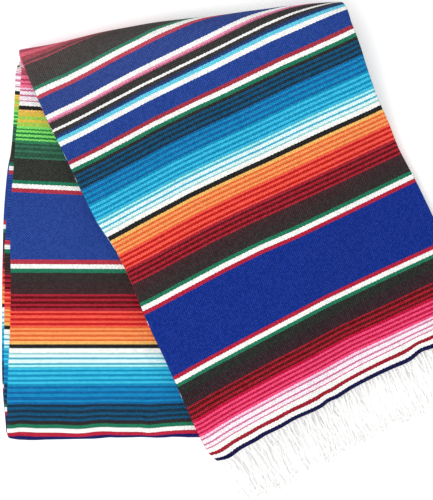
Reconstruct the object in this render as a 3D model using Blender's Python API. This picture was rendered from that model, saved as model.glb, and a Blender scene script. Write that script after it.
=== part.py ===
"""A Mexican serape, folded to eight layers and laid on a flat surface.

The blanket is quartered along its length and halved across it, which gives a band of eight layers.
The band is folded once more at the top: the front stretch lies obliquely on the back stretch.
Lengths are in millimetres in the tables and become metres where the meshes are made.
The plan has X to the right and Y away from the hem, as seen from straight above.
"""

import math

import bmesh
import bpy
from mathutils import Vector
from mathutils.geometry import tessellate_polygon

MM = 0.001

# Cloth and stack
CLOTH_WIDTH = 1464.0
WIDTH = CLOTH_WIDTH / 4
WALL = 2.4
GAP = 0.3
STACK = 17.4
FOLD_RADIUS = STACK / 2
SLIT_LOW = STACK - WALL - GAP
BACK_TOP = STACK
EDGE_ROLL = 5.0
EDGE_DROP = 1.1

# Front stretch, in plan
HEM_LEFT = Vector((0.6, -253.3))
HEM_ANGLE = math.radians(27.2)
HEM_STACK = 14.0
HEM_TAPER = 45.0
DESCENT_LEFT = 40.0
DESCENT_RIGHT = 190.0
HELIX = 0.17
AXIS_STEP = 0.04

# Where the front stretch comes down from the back stretch to the floor
STEP_START = 28.0
STEP_LENGTH = 84.0

# Back stretch, in plan: the line where its bottom fold meets the floor
BOTTOM_LEFT = Vector((-254.0, -223.5))
BOTTOM_RIGHT = Vector((30.0, -220.0))
CORNER_ROUND = 16.0
CORNER_INSET = 5.0
EDGE_SETTLE = 0.06
EDGE_FADE = 3

# The silhouette of the top fold, seen from above, with the radius of its roll
FOLD_COLUMNS = ("across", "x", "y", "radius")
FOLD = (
    (0.00, -240.5, 243.4, 17.55),
    (0.13, -190.3, 253.0, 19.0),
    (0.26, -141.4, 264.6, 20.6),
    (0.45, -68.4, 277.1, 23.0),
    (0.63, 4.2, 282.9, 25.2),
    (0.79, 65.6, 289.8, 27.3),
    (0.89, 105.2, 294.2, 28.6),
    (1.00, 146.5, 296.0, 30.0),
)

# How far the side edges of the front stretch bow out, from the hem to the top of the roll
SIDE_COLUMNS = ("share", "left", "right")
SIDES = (
    (0.000, 0.0, 0.0),
    (0.025, 4.6, 0.0),
    (0.100, 5.0, 0.0),
    (0.250, 2.2, 0.0),
    (0.360, 1.4, -0.2),
    (0.460, -2.3, 0.0),
    (0.530, -1.6, -0.8),
    (0.600, 3.3, -2.6),
    (0.680, 3.9, -3.2),
    (0.770, 3.1, -6.2),
    (0.860, 3.4, -4.8),
    (0.930, 1.9, -1.9),
    (1.000, 0.0, 0.0),
)
SIDE_FADE = 2

# The left edges of the back stretch: its top layer and the layers that peek out below it
EDGE_COLUMNS = ("y", "top", "second", "third", "floor")
EDGES = (
    (225.0, -238.0, -246.0, -244.0, -242.8),
    (177.0, -241.2, -247.8, -246.5, -244.0),
    (135.0, -245.6, -250.4, -250.0, -247.0),
    (105.0, -247.4, -253.8, -256.6, -250.0),
    (74.0, -250.0, -255.8, -260.0, -254.0),
    (40.0, -251.7, -257.4, -262.3, -257.0),
    (0.0, -252.0, -259.8, -263.3, -258.0),
    (-35.0, -251.3, -259.6, -264.0, -258.5),
    (-93.0, -252.2, -260.0, -264.3, -259.0),
    (-150.0, -254.5, -260.4, -264.2, -258.0),
    (-184.0, -255.7, -260.2, -262.4, -257.0),
    (-223.5, -255.8, -257.5, -258.5, -254.0),
)

# Side profile of the hidden layers: depth from the outer cloth inwards, how far out, the edge it follows
LEDGE_COLUMNS = ("depth", "out", "edge")
LEDGES = (
    (0.00, -1.6, "floor"),
    (0.15, 0.4, "floor"),
    (0.29, -0.6, "floor"),
    (0.36, -0.6, "third"),
    (0.49, 0.5, "third"),
    (0.62, -0.6, "third"),
    (0.69, -0.6, "second"),
    (0.81, 0.5, "second"),
    (0.93, -0.2, "second"),
    (1.00, -1.5, "top"),
)
FRONT_LEDGES = {"top": 0.0, "second": 1.2, "third": -0.6, "floor": 0.6}

# Spacing of the sections: columns across, and shares of the way along each stretch
COLUMNS = 14
FRONT_SHARES = (
    0.0, 0.012, 0.03, 0.07, 0.13, 0.20, 0.28, 0.36, 0.43, 0.50, 0.57, 0.63, 0.70, 0.77, 0.84, 0.91, 0.97,
)
ROLL_STEPS = 10
BACK_SHARES = (0.02, 0.06, 0.12, 0.2, 0.3, 0.4, 0.5, 0.6, 0.7, 0.8, 0.9, 1.0)
BOTTOM_STEPS = 7
SHARP_DEGREES = 50.0

# Fringe
HEM_ALONG = Vector((math.cos(HEM_ANGLE), math.sin(HEM_ANGLE)))
HEM_OUT = Vector((math.sin(HEM_ANGLE), -math.cos(HEM_ANGLE)))
FRINGE_ALONG = Vector((0.4345, -0.9007))
STRANDS = 72
STRAND_LENGTH = 84.0
STRAND_SEGMENTS = 4
STRAND_FALL = 48.0
STRAND_WIDTH = 2.4
STRAND_TIP = 1.4
STRAND_LIFT = 0.4
STRAND_LOOSE = 0.9
STRAND_SWAY = 2.6
SWAY_WAVES = ((1.0, 9.0), (0.4, 23.0))
STRAND_UNEVEN = 0.07
LENGTH_PATTERN = (7, 5)
LIFT_PATTERN = (3, 4)
STRIP_WIDTH = 3.6
STRIP_HEIGHT = 7.0


def clamp(value):
    return min(1.0, max(0.0, value))


def smooth(value):
    value = clamp(value)
    return value * value * (3.0 - 2.0 * value)


def blend(first, second, share):
    return first + (second - first) * share


def curve_through(rows, key, column, at):
    """A smooth curve through two columns of a table, as a cardinal spline."""
    last = len(rows) - 1
    rising = rows[last][key] > rows[0][key]
    index = 0
    while index < last - 1 and (rows[index + 1][key] < at) == rising:
        index += 1
    low, high = rows[index], rows[index + 1]
    span = high[key] - low[key]
    share = clamp((at - low[key]) / span)

    def slope(place):
        before, after = rows[max(place - 1, 0)], rows[min(place + 1, last)]
        return (after[column] - before[column]) / (after[key] - before[key])

    start, end = slope(index) * span, slope(index + 1) * span
    square, cube = share * share, share ** 3
    return (
        (2 * cube - 3 * square + 1) * low[column]
        + (cube - 2 * square + share) * start
        + (3 * square - 2 * cube) * high[column]
        + (cube - square) * end
    )


def fold_value(name, across):
    return curve_through(FOLD, 0, FOLD_COLUMNS.index(name), across)


def fold_frame(across):
    """Axis of the roll in plan, its direction, its outward normal and its radius."""
    before, after = max(across - AXIS_STEP, 0.0), min(across + AXIS_STEP, 1.0)
    along = Vector((
        fold_value("x", after) - fold_value("x", before),
        fold_value("y", after) - fold_value("y", before),
    )).normalized()
    outward = Vector((-along.y, along.x))
    radius = fold_value("radius", across)
    outline = Vector((fold_value("x", across), fold_value("y", across)))
    return outline - outward * radius, along, outward, radius


def roll_plan(across, turn):
    """Axis point at a turn round the roll: 0 on top, 1 on the floor. The columns run round it obliquely."""
    axis, along, outward, radius = fold_frame(across)
    return axis + along * (HELIX * math.pi * radius * (0.5 - turn)), outward, radius


def edge_value(name, y):
    return curve_through(EDGES, 0, EDGE_COLUMNS.index(name), y)


def back_plan(across, share, edge="floor"):
    """Plan place on the back stretch: share 0 under the top fold, 1 at the bottom fold."""
    start = roll_plan(across, 1.0)[0]
    end = BOTTOM_LEFT.lerp(BOTTOM_RIGHT, across)
    place = start.lerp(end, share)
    left = roll_plan(0.0, 1.0)[0].lerp(BOTTOM_LEFT, share)
    settled = smooth(share / EDGE_SETTLE) if edge == "floor" else 1.0
    shift = (edge_value(edge, left.y) - left.x) * (1.0 - across) ** EDGE_FADE * settled
    return Vector((place.x + shift, place.y))


def outside_back(place):
    """Distance of a plan place beyond the back stretch's right and bottom edges."""
    top_right = roll_plan(1.0, 1.0)[0]
    right = (BOTTOM_RIGHT - top_right).normalized()
    beyond_right = (place - top_right).dot(Vector((-right.y, right.x)))
    bottom = (BOTTOM_RIGHT - BOTTOM_LEFT).normalized()
    beyond_bottom = (place - BOTTOM_LEFT).dot(Vector((bottom.y, -bottom.x))) - FOLD_RADIUS
    return max(beyond_right, beyond_bottom)


def hem_place(across):
    return HEM_LEFT + HEM_ALONG * (WIDTH * across)


def front_plan(across, share):
    """Plan place on the front stretch: share 0 at the hem, 1 on top of the roll."""
    left = curve_through(SIDES, 0, SIDE_COLUMNS.index("left"), share) * (1.0 - across) ** SIDE_FADE
    right = curve_through(SIDES, 0, SIDE_COLUMNS.index("right"), share) * across ** SIDE_FADE
    return hem_place(across).lerp(roll_plan(across, 0.0)[0], share) + HEM_ALONG * (right - left)


def front_heights(across, share):
    """Heights of the front stretch's underside and top."""
    place = front_plan(across, share)
    crest = roll_plan(across, 0.0)[0]
    length = (front_plan(across, 0.0) - crest).length
    base = (BACK_TOP + GAP) * (1.0 - smooth((outside_back(place) - STEP_START) / STEP_LENGTH))
    stack = blend(HEM_STACK, STACK, smooth(share * length / HEM_TAPER))
    descent = blend(DESCENT_LEFT, DESCENT_RIGHT, across)
    rise = 1.0 - smooth((1.0 - share) * length / descent)
    lift = (2.0 * fold_value("radius", across) - (base + STACK)) * rise
    return base + lift, base + lift + stack


def back_point(across, share, edge, height):
    place = back_plan(across, share, edge)
    return Vector((place.x, place.y, height))


def edge_drop(across):
    """How far the outer cloth turns down at its side edges."""
    inside = min(across, 1.0 - across) * WIDTH
    return EDGE_DROP * (1.0 - clamp(inside / EDGE_ROLL)) ** 2


def columns():
    inner = [(index + 1) / (COLUMNS + 1) for index in range(COLUMNS)]
    near = EDGE_ROLL / WIDTH
    return [0.0, near / 2, near] + inner + [1.0 - near, 1.0 - near / 2, 1.0]


def front_point(across, share, depth):
    """A point of the front stretch, at a depth under its top, and never under its underside."""
    place = front_plan(across, share)
    low, high = front_heights(across, share)
    return Vector((place.x, place.y, max(high - depth, low)))


def roll_point(across, turn, depth):
    """A point on the roll, at a depth under its outer face."""
    place, outward, radius = roll_plan(across, turn)
    angle = math.pi * turn
    reach = (radius - depth) * math.sin(angle)
    return Vector((place.x + outward.x * reach, place.y + outward.y * reach,
                   radius + (radius - depth) * math.cos(angle)))


def roll_inner_point(across, turn):
    """A point on the inside of the rolled layers."""
    place, outward, radius = roll_plan(across, turn)
    high = 2.0 * radius - STACK
    middle, reach = (high + SLIT_LOW) / 2, (high - SLIT_LOW) / 2
    angle = math.pi * turn
    side = reach * math.sin(angle)
    return Vector((place.x + outward.x * side, place.y + outward.y * side, middle + reach * math.cos(angle)))


def loft(name, rings, colour, roughness):
    """Close a row of rings into one body. Facing surfaces have their quads split the same way."""
    count = len(rings[0])
    points = [point * MM for ring in rings for point in ring]
    faces = []
    for row in range(len(rings) - 1):
        for place in range(count):
            following = (place + 1) % count
            near, far = row * count, (row + 1) * count
            if place < count // 2:
                faces.append((near + place, far + place, far + following))
                faces.append((near + place, far + following, near + following))
            else:
                faces.append((near + place, far + place, near + following))
                faces.append((near + following, far + place, far + following))
    for base in (0, (len(rings) - 1) * count):
        for corners in tessellate_polygon([points[base:base + count]]):
            faces.append(tuple(base + corner for corner in corners))
    return add_piece(name, points, faces, colour, roughness)


def add_piece(name, points, faces, colour, roughness):
    """Make a closed mesh with its faces pointing out, in its own material."""
    mesh = bpy.data.meshes.new(name)
    mesh.from_pydata([tuple(point) for point in points], [], faces)
    body = bmesh.new()
    body.from_mesh(mesh)
    bmesh.ops.recalc_face_normals(body, faces=body.faces)
    body.to_mesh(mesh)
    body.free()
    mesh.shade_smooth()
    mesh.set_sharp_from_angle(angle=math.radians(SHARP_DEGREES))
    piece = bpy.data.objects.new(name, mesh)
    bpy.context.scene.collection.objects.link(piece)
    material = bpy.data.materials.new(name + "_material")
    material.use_nodes = True
    shader = material.node_tree.nodes["Principled BSDF"]
    shader.inputs["Base Color"].default_value = (*colour, 1.0)
    shader.inputs["Roughness"].default_value = roughness
    shader.inputs["Metallic"].default_value = 0.0
    mesh.materials.append(material)
    return piece


def wall_ring(outer, inner):
    """A ring round a thin wall: along its outer face, then back along its inner face."""
    return outer + list(reversed(inner))


def front_stretch():
    """Outer cloth from the hem, up the front, round the roll and along the floor to the bottom fold."""
    rings = []
    for share in FRONT_SHARES:
        outer = [front_point(t, share, edge_drop(t)) for t in columns()]
        inner = [front_point(t, share, WALL + edge_drop(t)) for t in columns()]
        rings.append(wall_ring(outer, inner))
    for step in range(ROLL_STEPS + 1):
        turn = step / ROLL_STEPS
        outer = [roll_point(t, turn, edge_drop(t) * (1.0 - turn)) for t in columns()]
        inner = [roll_point(t, turn, WALL + edge_drop(t) * (1.0 - turn)) for t in columns()]
        rings.append(wall_ring(outer, inner))
    for share in BACK_SHARES:
        outer = [back_point(t, share, "floor", 0.0) for t in columns()]
        inner = [back_point(t, share, "floor", WALL) for t in columns()]
        rings.append(wall_ring(outer, inner))
    return loft("front_stretch", rings, (0.30, 0.06, 0.10), 0.9)


def bottom_fold_point(across, turn, depth):
    """A point round the bottom fold of the back: turn 0 on the floor, 1 on top."""
    place = BOTTOM_LEFT.lerp(BOTTOM_RIGHT, across)
    left = blend(edge_value("floor", BOTTOM_LEFT.y), edge_value("top", BOTTOM_LEFT.y), turn)
    inside = min(across, 1.0 - across) * (BOTTOM_RIGHT - BOTTOM_LEFT).length
    inset = CORNER_INSET * (1.0 - clamp(inside / CORNER_ROUND)) ** 2
    angle = math.pi * turn
    reach = (FOLD_RADIUS - depth - inset) * math.sin(angle)
    return Vector((
        place.x + (left - BOTTOM_LEFT.x) * (1.0 - across) ** EDGE_FADE,
        place.y - GAP - reach,
        FOLD_RADIUS - (FOLD_RADIUS - depth) * math.cos(angle),
    ))


def back_stretch():
    """Top cloth of the back, from under the bottom fold, round it and up to the crease at the roll."""
    rings = []
    for step in range(BOTTOM_STEPS + 1):
        turn = step / BOTTOM_STEPS
        outer = [bottom_fold_point(t, turn, edge_drop(t) * turn) for t in columns()]
        inner = [bottom_fold_point(t, turn, WALL + edge_drop(t) * turn) for t in columns()]
        rings.append(wall_ring(outer, inner))
    for share in BACK_SHARES[-2::-1]:
        outer = [back_point(t, share, "top", BACK_TOP - edge_drop(t)) for t in columns()]
        inner = [back_point(t, share, "top", BACK_TOP - WALL - edge_drop(t)) for t in columns()]
        rings.append(wall_ring(outer, inner))
    return loft("back_stretch", rings, (0.10, 0.22, 0.35), 0.9)


def layered_ring(outer, inner, left_shift, right_shift):
    """A ring round the hidden layers, from the left over the outer face, with ledges at both sides."""
    leftward = (outer[0] - outer[-1]).normalized()
    left, right = [], []
    for depth, out, edge in LEDGES:
        left.append(outer[0].lerp(inner[0], depth) + leftward * (out + left_shift(edge, depth)))
        right.append(outer[-1].lerp(inner[-1], depth) - leftward * (out + right_shift(edge, depth)))
    half = len(LEDGES) // 2
    return left[:half][::-1] + outer[1:-1] + right + inner[-2:0:-1] + left[half:][::-1]


def front_shift(edge, _depth):
    return FRONT_LEDGES[edge]


def folded_layers():
    """The six hidden layers as one solid that follows the front, the roll and the back."""
    inset = WALL + GAP
    rings = []
    for share in FRONT_SHARES:
        outer = [front_point(t, share, inset + edge_drop(t)) for t in columns()]
        inner = [front_point(t, share, STACK) for t in columns()]
        rings.append(layered_ring(outer, inner, front_shift, front_shift))
    for step in range(ROLL_STEPS + 1):
        turn = step / ROLL_STEPS
        outer = [roll_point(t, turn, inset + edge_drop(t) * (1.0 - turn)) for t in columns()]
        inner = [roll_inner_point(t, turn) for t in columns()]
        rings.append(layered_ring(outer, inner, front_shift, front_shift))
    for share in BACK_SHARES:
        outer = [back_point(t, share, "floor", inset) for t in columns()]
        inner = [back_point(t, share, "top", SLIT_LOW - edge_drop(t)) for t in columns()]

        def back_shift(edge, depth):
            return outer[0].lerp(inner[0], depth).x - edge_value(edge, outer[0].y)

        rings.append(layered_ring(outer, inner, back_shift, front_shift))
    return loft("folded_layers", rings, (0.16, 0.10, 0.10), 0.9)


def scattered(index, pattern):
    """A share from 0 to 1 that jumps about from strand to strand and then repeats."""
    stride, count = pattern
    return index * stride % count / (count - 1)


def strand_route(across, index):
    """The points along one strand and its half width at each, from the strip outwards."""
    root = hem_place(across) + HEM_OUT * (GAP + STRIP_WIDTH)
    base = front_heights(across, 0.0)[0]
    sway = STRAND_SWAY * sum(part * math.sin(rate * across) for part, rate in SWAY_WAVES)
    length = STRAND_LENGTH * (1.0 - STRAND_UNEVEN * scattered(index, LENGTH_PATTERN))
    lift = STRAND_LIFT + STRAND_LOOSE * scattered(index, LIFT_PATTERN)
    rows = []
    for step in range(1, STRAND_SEGMENTS + 1):
        share = step / STRAND_SEGMENTS
        place = root + FRINGE_ALONG * (length * share) + HEM_ALONG * (sway * math.sin(math.pi * share))
        fall = 1.0 - smooth(length * share / STRAND_FALL)
        half = blend(STRAND_WIDTH, STRAND_TIP, share) / 2
        rows.append((Vector((place.x, place.y, lift + half + base * fall)), half))
    return rows


def fringe():
    """A narrow strip beside the hem with its strands, each drawn out of the strip's outer face."""
    points, faces = [], []
    pitch = 1.0 / STRANDS
    half_root = STRAND_WIDTH / 2 / WIDTH
    edges = []
    for index in range(STRANDS):
        middle = (index + 0.5) * pitch
        edges += [middle - half_root, middle + half_root]
    for across in edges:
        base = front_heights(across, 0.0)[0]
        for reach, height in ((GAP, 0.0), (GAP + STRIP_WIDTH, 0.0),
                              (GAP + STRIP_WIDTH, STRIP_HEIGHT), (GAP, STRIP_HEIGHT)):
            place = hem_place(across) + HEM_OUT * reach
            points.append(Vector((place.x, place.y, base + height)))
    last = 4 * (len(edges) - 1)
    faces += [(0, 1, 2), (0, 2, 3)]
    faces += [(last, last + 2, last + 1), (last, last + 3, last + 2)]
    for row in range(len(edges) - 1):
        near, far = 4 * row, 4 * (row + 1)
        for side in range(4):
            following = (side + 1) % 4
            if side == 1 and row % 2 == 0:
                continue
            faces.append((near + side, far + side, far + following))
            faces.append((near + side, far + following, near + following))
    for index in range(STRANDS):
        near, far = 8 * index, 8 * index + 4
        loop = [near + 1, far + 1, far + 2, near + 2]
        for centre, half in strand_route((index + 0.5) * pitch, index):
            first = len(points)
            for across_sign, up_sign in ((-1, -1), (1, -1), (1, 1), (-1, 1)):
                side = HEM_ALONG * (half * across_sign)
                points.append(centre + Vector((side.x, side.y, half * up_sign)))
            for side in range(4):
                following = (side + 1) % 4
                faces.append((loop[side], loop[following], first + following))
                faces.append((loop[side], first + following, first + side))
            loop = [first + side for side in range(4)]
        faces += [(loop[0], loop[1], loop[2]), (loop[0], loop[2], loop[3])]
    return add_piece("fringe", [point * MM for point in points], faces, (0.86, 0.85, 0.82), 0.85)


def stand_on_middle(pieces):
    """Bring the middle of the footprint to the origin."""
    corners = [vertex.co for piece in pieces for vertex in piece.data.vertices]
    middle = Vector((
        (min(corner.x for corner in corners) + max(corner.x for corner in corners)) / 2,
        (min(corner.y for corner in corners) + max(corner.y for corner in corners)) / 2,
        0.0,
    ))
    for piece in pieces:
        for vertex in piece.data.vertices:
            vertex.co -= middle


def main():
    for item in list(bpy.data.objects):
        bpy.data.objects.remove(item, do_unlink=True)
    pieces = [front_stretch(), back_stretch(), folded_layers(), fringe()]
    stand_on_middle(pieces)


main()
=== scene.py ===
"""The looks of a Mexican serape, folded to a thick band and folded once more at the top.

The cloth, its hidden layers and its fringe are fitted over the solids of the frame.
Tables and forms are in millimetres, in a plan whose middle is straight below the camera.
"""

import math

import bmesh
import bpy
import numpy as np
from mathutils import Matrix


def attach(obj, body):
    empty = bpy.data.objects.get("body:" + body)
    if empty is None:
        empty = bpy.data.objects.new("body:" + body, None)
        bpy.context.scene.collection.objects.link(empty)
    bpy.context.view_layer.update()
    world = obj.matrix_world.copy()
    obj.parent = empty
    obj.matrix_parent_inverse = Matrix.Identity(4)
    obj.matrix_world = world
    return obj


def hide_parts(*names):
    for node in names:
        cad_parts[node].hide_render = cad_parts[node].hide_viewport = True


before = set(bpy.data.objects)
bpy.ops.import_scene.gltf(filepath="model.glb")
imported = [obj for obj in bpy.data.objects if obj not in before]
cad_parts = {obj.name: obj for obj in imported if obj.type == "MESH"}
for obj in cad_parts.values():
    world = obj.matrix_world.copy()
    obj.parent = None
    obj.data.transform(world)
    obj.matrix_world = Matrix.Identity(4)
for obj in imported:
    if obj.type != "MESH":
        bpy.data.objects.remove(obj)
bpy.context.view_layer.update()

MM = 0.001
BODY = "root"

# The middle of the footprint, in the plan
MIDDLE = np.array((48.299, -17.895, 0.0))

# Camera, straight above the plan's origin
CAMERA_HEIGHT = 850.0
FRAME_WIDTH, FRAME_HEIGHT = 433, 500
SCALE_AT_30 = 1.2
LEAST_SCALE = SCALE_AT_30 / (CAMERA_HEIGHT - 30.0)
SENSOR = 36.0

# Cloth and stack, as in the solids
WIDTH = 1464.0 / 4
WALL = 2.4
GAP = 0.3
STACK = 17.4
FOLD_RADIUS = STACK / 2
SLIT_LOW = STACK - WALL - GAP
HEM_LEFT = np.array((0.6, -253.3))
HEM_ANGLE = math.radians(27.2)
HEM_ALONG = np.array((math.cos(HEM_ANGLE), math.sin(HEM_ANGLE)))
HEM_OUT = np.array((math.sin(HEM_ANGLE), -math.cos(HEM_ANGLE)))
FRINGE_ALONG = np.array((0.4345, -0.9007))
HEM_STACK = 14.0
HEM_TAPER = 45.0
DESCENT_LEFT = 40.0
DESCENT_RIGHT = 190.0
HELIX = 0.17
AXIS_STEP = 0.04
STEP_START = 28.0
STEP_LENGTH = 84.0
BOTTOM_LEFT = np.array((-254.0, -223.5))
BOTTOM_RIGHT = np.array((30.0, -220.0))
CORNER_ROUND = 16.0
CORNER_INSET = 5.0
EDGE_SETTLE = 0.06
EDGE_FADE = 3

# The silhouette of the top fold, seen from above, with the radius of its roll
FOLD_COLUMNS = ("across", "x", "y", "radius")
FOLD = (
    (0.00, -240.5, 243.4, 17.55),
    (0.13, -190.3, 251.4, 19.0),
    (0.26, -141.4, 262.8, 20.6),
    (0.45, -68.4, 275.3, 23.0),
    (0.63, 4.2, 282.2, 25.2),
    (0.79, 65.6, 289.8, 27.3),
    (0.89, 105.2, 294.2, 28.6),
    (1.00, 146.5, 296.0, 30.0),
)

# How far the side edges of the front stretch bow out, from the hem to the top of the roll
SIDE_COLUMNS = ("share", "left", "right")
SIDES = (
    (0.000, 0.0, 0.0),
    (0.025, 4.6, 0.0),
    (0.100, 5.0, 0.0),
    (0.250, 2.2, 0.0),
    (0.360, 1.4, -0.2),
    (0.460, -2.3, 0.0),
    (0.530, -1.6, -0.8),
    (0.600, 3.3, -2.6),
    (0.680, 3.9, -3.2),
    (0.770, 3.1, -6.2),
    (0.860, 3.4, -4.8),
    (0.930, 1.9, -1.9),
    (1.000, 0.0, 0.0),
)
SIDE_FADE = 2

# How far the uneven hem of the outer cloth reaches beyond a straight line
HEM_WAVE = (  # across, out
    (0.00, 0.2), (0.04, 3.6), (0.09, 1.1), (0.15, 0.7), (0.18, -0.4), (0.24, 0.6), (0.29, 0.6), (0.36, 3.8),
    (0.39, 4.3), (0.42, 2.9), (0.45, 4.0), (0.51, 2.1), (0.60, 2.0), (0.66, 3.0), (0.72, 4.3), (0.77, 0.9),
    (0.81, 2.8), (0.90, 2.0), (1.00, 2.4),
)
WAVE_DEPTH = 0.09
HEM_SETTLE = 30.0

# The left edges of the back stretch: its top layer and the layers that peek out below it
EDGE_COLUMNS = ("y", "top", "second", "third", "floor")
EDGES = (
    (225.0, -238.0, -246.0, -244.0, -242.8),
    (177.0, -241.2, -247.8, -246.5, -244.0),
    (135.0, -245.6, -250.4, -250.0, -247.0),
    (105.0, -247.4, -253.8, -256.6, -250.0),
    (74.0, -250.0, -255.8, -260.0, -254.0),
    (40.0, -251.7, -257.4, -262.3, -257.0),
    (0.0, -252.0, -259.8, -263.3, -258.0),
    (-35.0, -251.3, -259.6, -264.0, -258.5),
    (-93.0, -252.2, -260.0, -264.3, -259.0),
    (-150.0, -254.5, -260.4, -264.2, -258.0),
    (-184.0, -255.7, -260.2, -262.4, -257.0),
    (-223.5, -255.8, -257.5, -258.5, -254.0),
)


def smooth(value):
    value = np.clip(value, 0.0, 1.0)
    return value * value * (3.0 - 2.0 * value)


def blend(first, second, share):
    return first + (second - first) * share


def curve_through(rows, column, at):
    """A smooth curve through the first and another column of a table, as a cardinal spline."""
    table = np.array(rows, float)
    keys, values = table[:, 0], table[:, column]
    places = np.arange(len(keys))
    before, after = np.maximum(places - 1, 0), np.minimum(places + 1, len(keys) - 1)
    slopes = (values[after] - values[before]) / (keys[after] - keys[before])
    sign = np.sign(keys[-1] - keys[0])
    low = np.clip(np.searchsorted(sign * keys, sign * np.asarray(at, float)) - 1, 0, len(keys) - 2)
    span = keys[low + 1] - keys[low]
    share = np.clip((at - keys[low]) / span, 0.0, 1.0)
    square, cube = share ** 2, share ** 3
    return (
        (2 * cube - 3 * square + 1) * values[low]
        + (cube - 2 * square + share) * slopes[low] * span
        + (3 * square - 2 * cube) * values[low + 1]
        + (cube - square) * slopes[low + 1] * span
    )


def fold_value(name, across):
    return curve_through(FOLD, FOLD_COLUMNS.index(name), across)


def edge_value(name, y):
    return curve_through(EDGES, EDGE_COLUMNS.index(name), y)


def roll_plan(across, turn):
    """Axis point at a turn round the roll, its outward normal and its radius."""
    before, after = np.maximum(across - AXIS_STEP, 0.0), np.minimum(across + AXIS_STEP, 1.0)
    along = np.stack([
        fold_value("x", after) - fold_value("x", before),
        fold_value("y", after) - fold_value("y", before),
    ], axis=-1)
    along /= np.linalg.norm(along, axis=-1, keepdims=True)
    outward = np.stack([-along[..., 1], along[..., 0]], axis=-1)
    radius = fold_value("radius", across)
    outline = np.stack([fold_value("x", across), fold_value("y", across)], axis=-1)
    axis = outline - outward * radius[..., None]
    return axis + along * (HELIX * math.pi * radius * (0.5 - turn))[..., None], outward, radius


def line_between(first, second, share):
    return first + (second - first) * np.asarray(share)[..., None]


def back_plan(across, share, edge="floor"):
    """Plan place on the back stretch: share 0 under the top fold, 1 at the bottom fold."""
    start = roll_plan(across, 1.0)[0]
    place = line_between(start, line_between(BOTTOM_LEFT, BOTTOM_RIGHT, across), share)
    left = line_between(roll_plan(np.zeros(1), 1.0)[0][0], BOTTOM_LEFT, share)
    settled = smooth(np.asarray(share) / EDGE_SETTLE) if edge == "floor" else 1.0
    shift = (edge_value(edge, left[..., 1]) - left[..., 0]) * (1.0 - across) ** EDGE_FADE * settled
    return place + np.stack([shift, np.zeros_like(shift)], axis=-1)


def outside_back(place):
    """Distance of a plan place beyond the back stretch's right and bottom edges."""
    top_right = roll_plan(np.ones(1), 1.0)[0][0]
    right = (BOTTOM_RIGHT - top_right) / np.linalg.norm(BOTTOM_RIGHT - top_right)
    beyond_right = (place - top_right) @ np.array((-right[1], right[0]))
    bottom = (BOTTOM_RIGHT - BOTTOM_LEFT) / np.linalg.norm(BOTTOM_RIGHT - BOTTOM_LEFT)
    beyond_bottom = (place - BOTTOM_LEFT) @ np.array((bottom[1], -bottom[0])) - FOLD_RADIUS
    return np.maximum(beyond_right, beyond_bottom)


def hem_place(across):
    return HEM_LEFT + HEM_ALONG * (WIDTH * np.asarray(across))[..., None]


def front_plan(across, share):
    """Plan place on the front stretch: share 0 at the hem, 1 on top of the roll."""
    left = curve_through(SIDES, SIDE_COLUMNS.index("left"), share) * (1.0 - across) ** SIDE_FADE
    right = curve_through(SIDES, SIDE_COLUMNS.index("right"), share) * across ** SIDE_FADE
    place = line_between(hem_place(across), roll_plan(across, 0.0)[0], share)
    return place + HEM_ALONG * (right - left)[..., None]


def wavy_front_plan(across, share):
    """As front_plan, with the unevenness of the hem."""
    wave = curve_through(HEM_WAVE, 1, across) * (1.0 - smooth(share / WAVE_DEPTH))
    return front_plan(across, share) + HEM_OUT * wave[..., None]


def front_heights(across, share):
    """Heights of the front stretch's underside and top."""
    place = front_plan(across, share)
    length = np.linalg.norm(hem_place(across) - roll_plan(across, 0.0)[0], axis=-1)
    base = (STACK + GAP) * (1.0 - smooth((outside_back(place) - STEP_START) / STEP_LENGTH))
    stack = blend(HEM_STACK, STACK, smooth(share * length / HEM_TAPER))
    descent = blend(DESCENT_LEFT, DESCENT_RIGHT, across)
    rise = 1.0 - smooth((1.0 - share) * length / descent)
    lift = (2.0 * fold_value("radius", across) - (base + STACK)) * rise
    return base + lift, base + lift + stack


def flat_points(place, height):
    height = np.broadcast_to(height, place.shape[:-1])
    return np.concatenate([place, height[..., None]], axis=-1)


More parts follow.
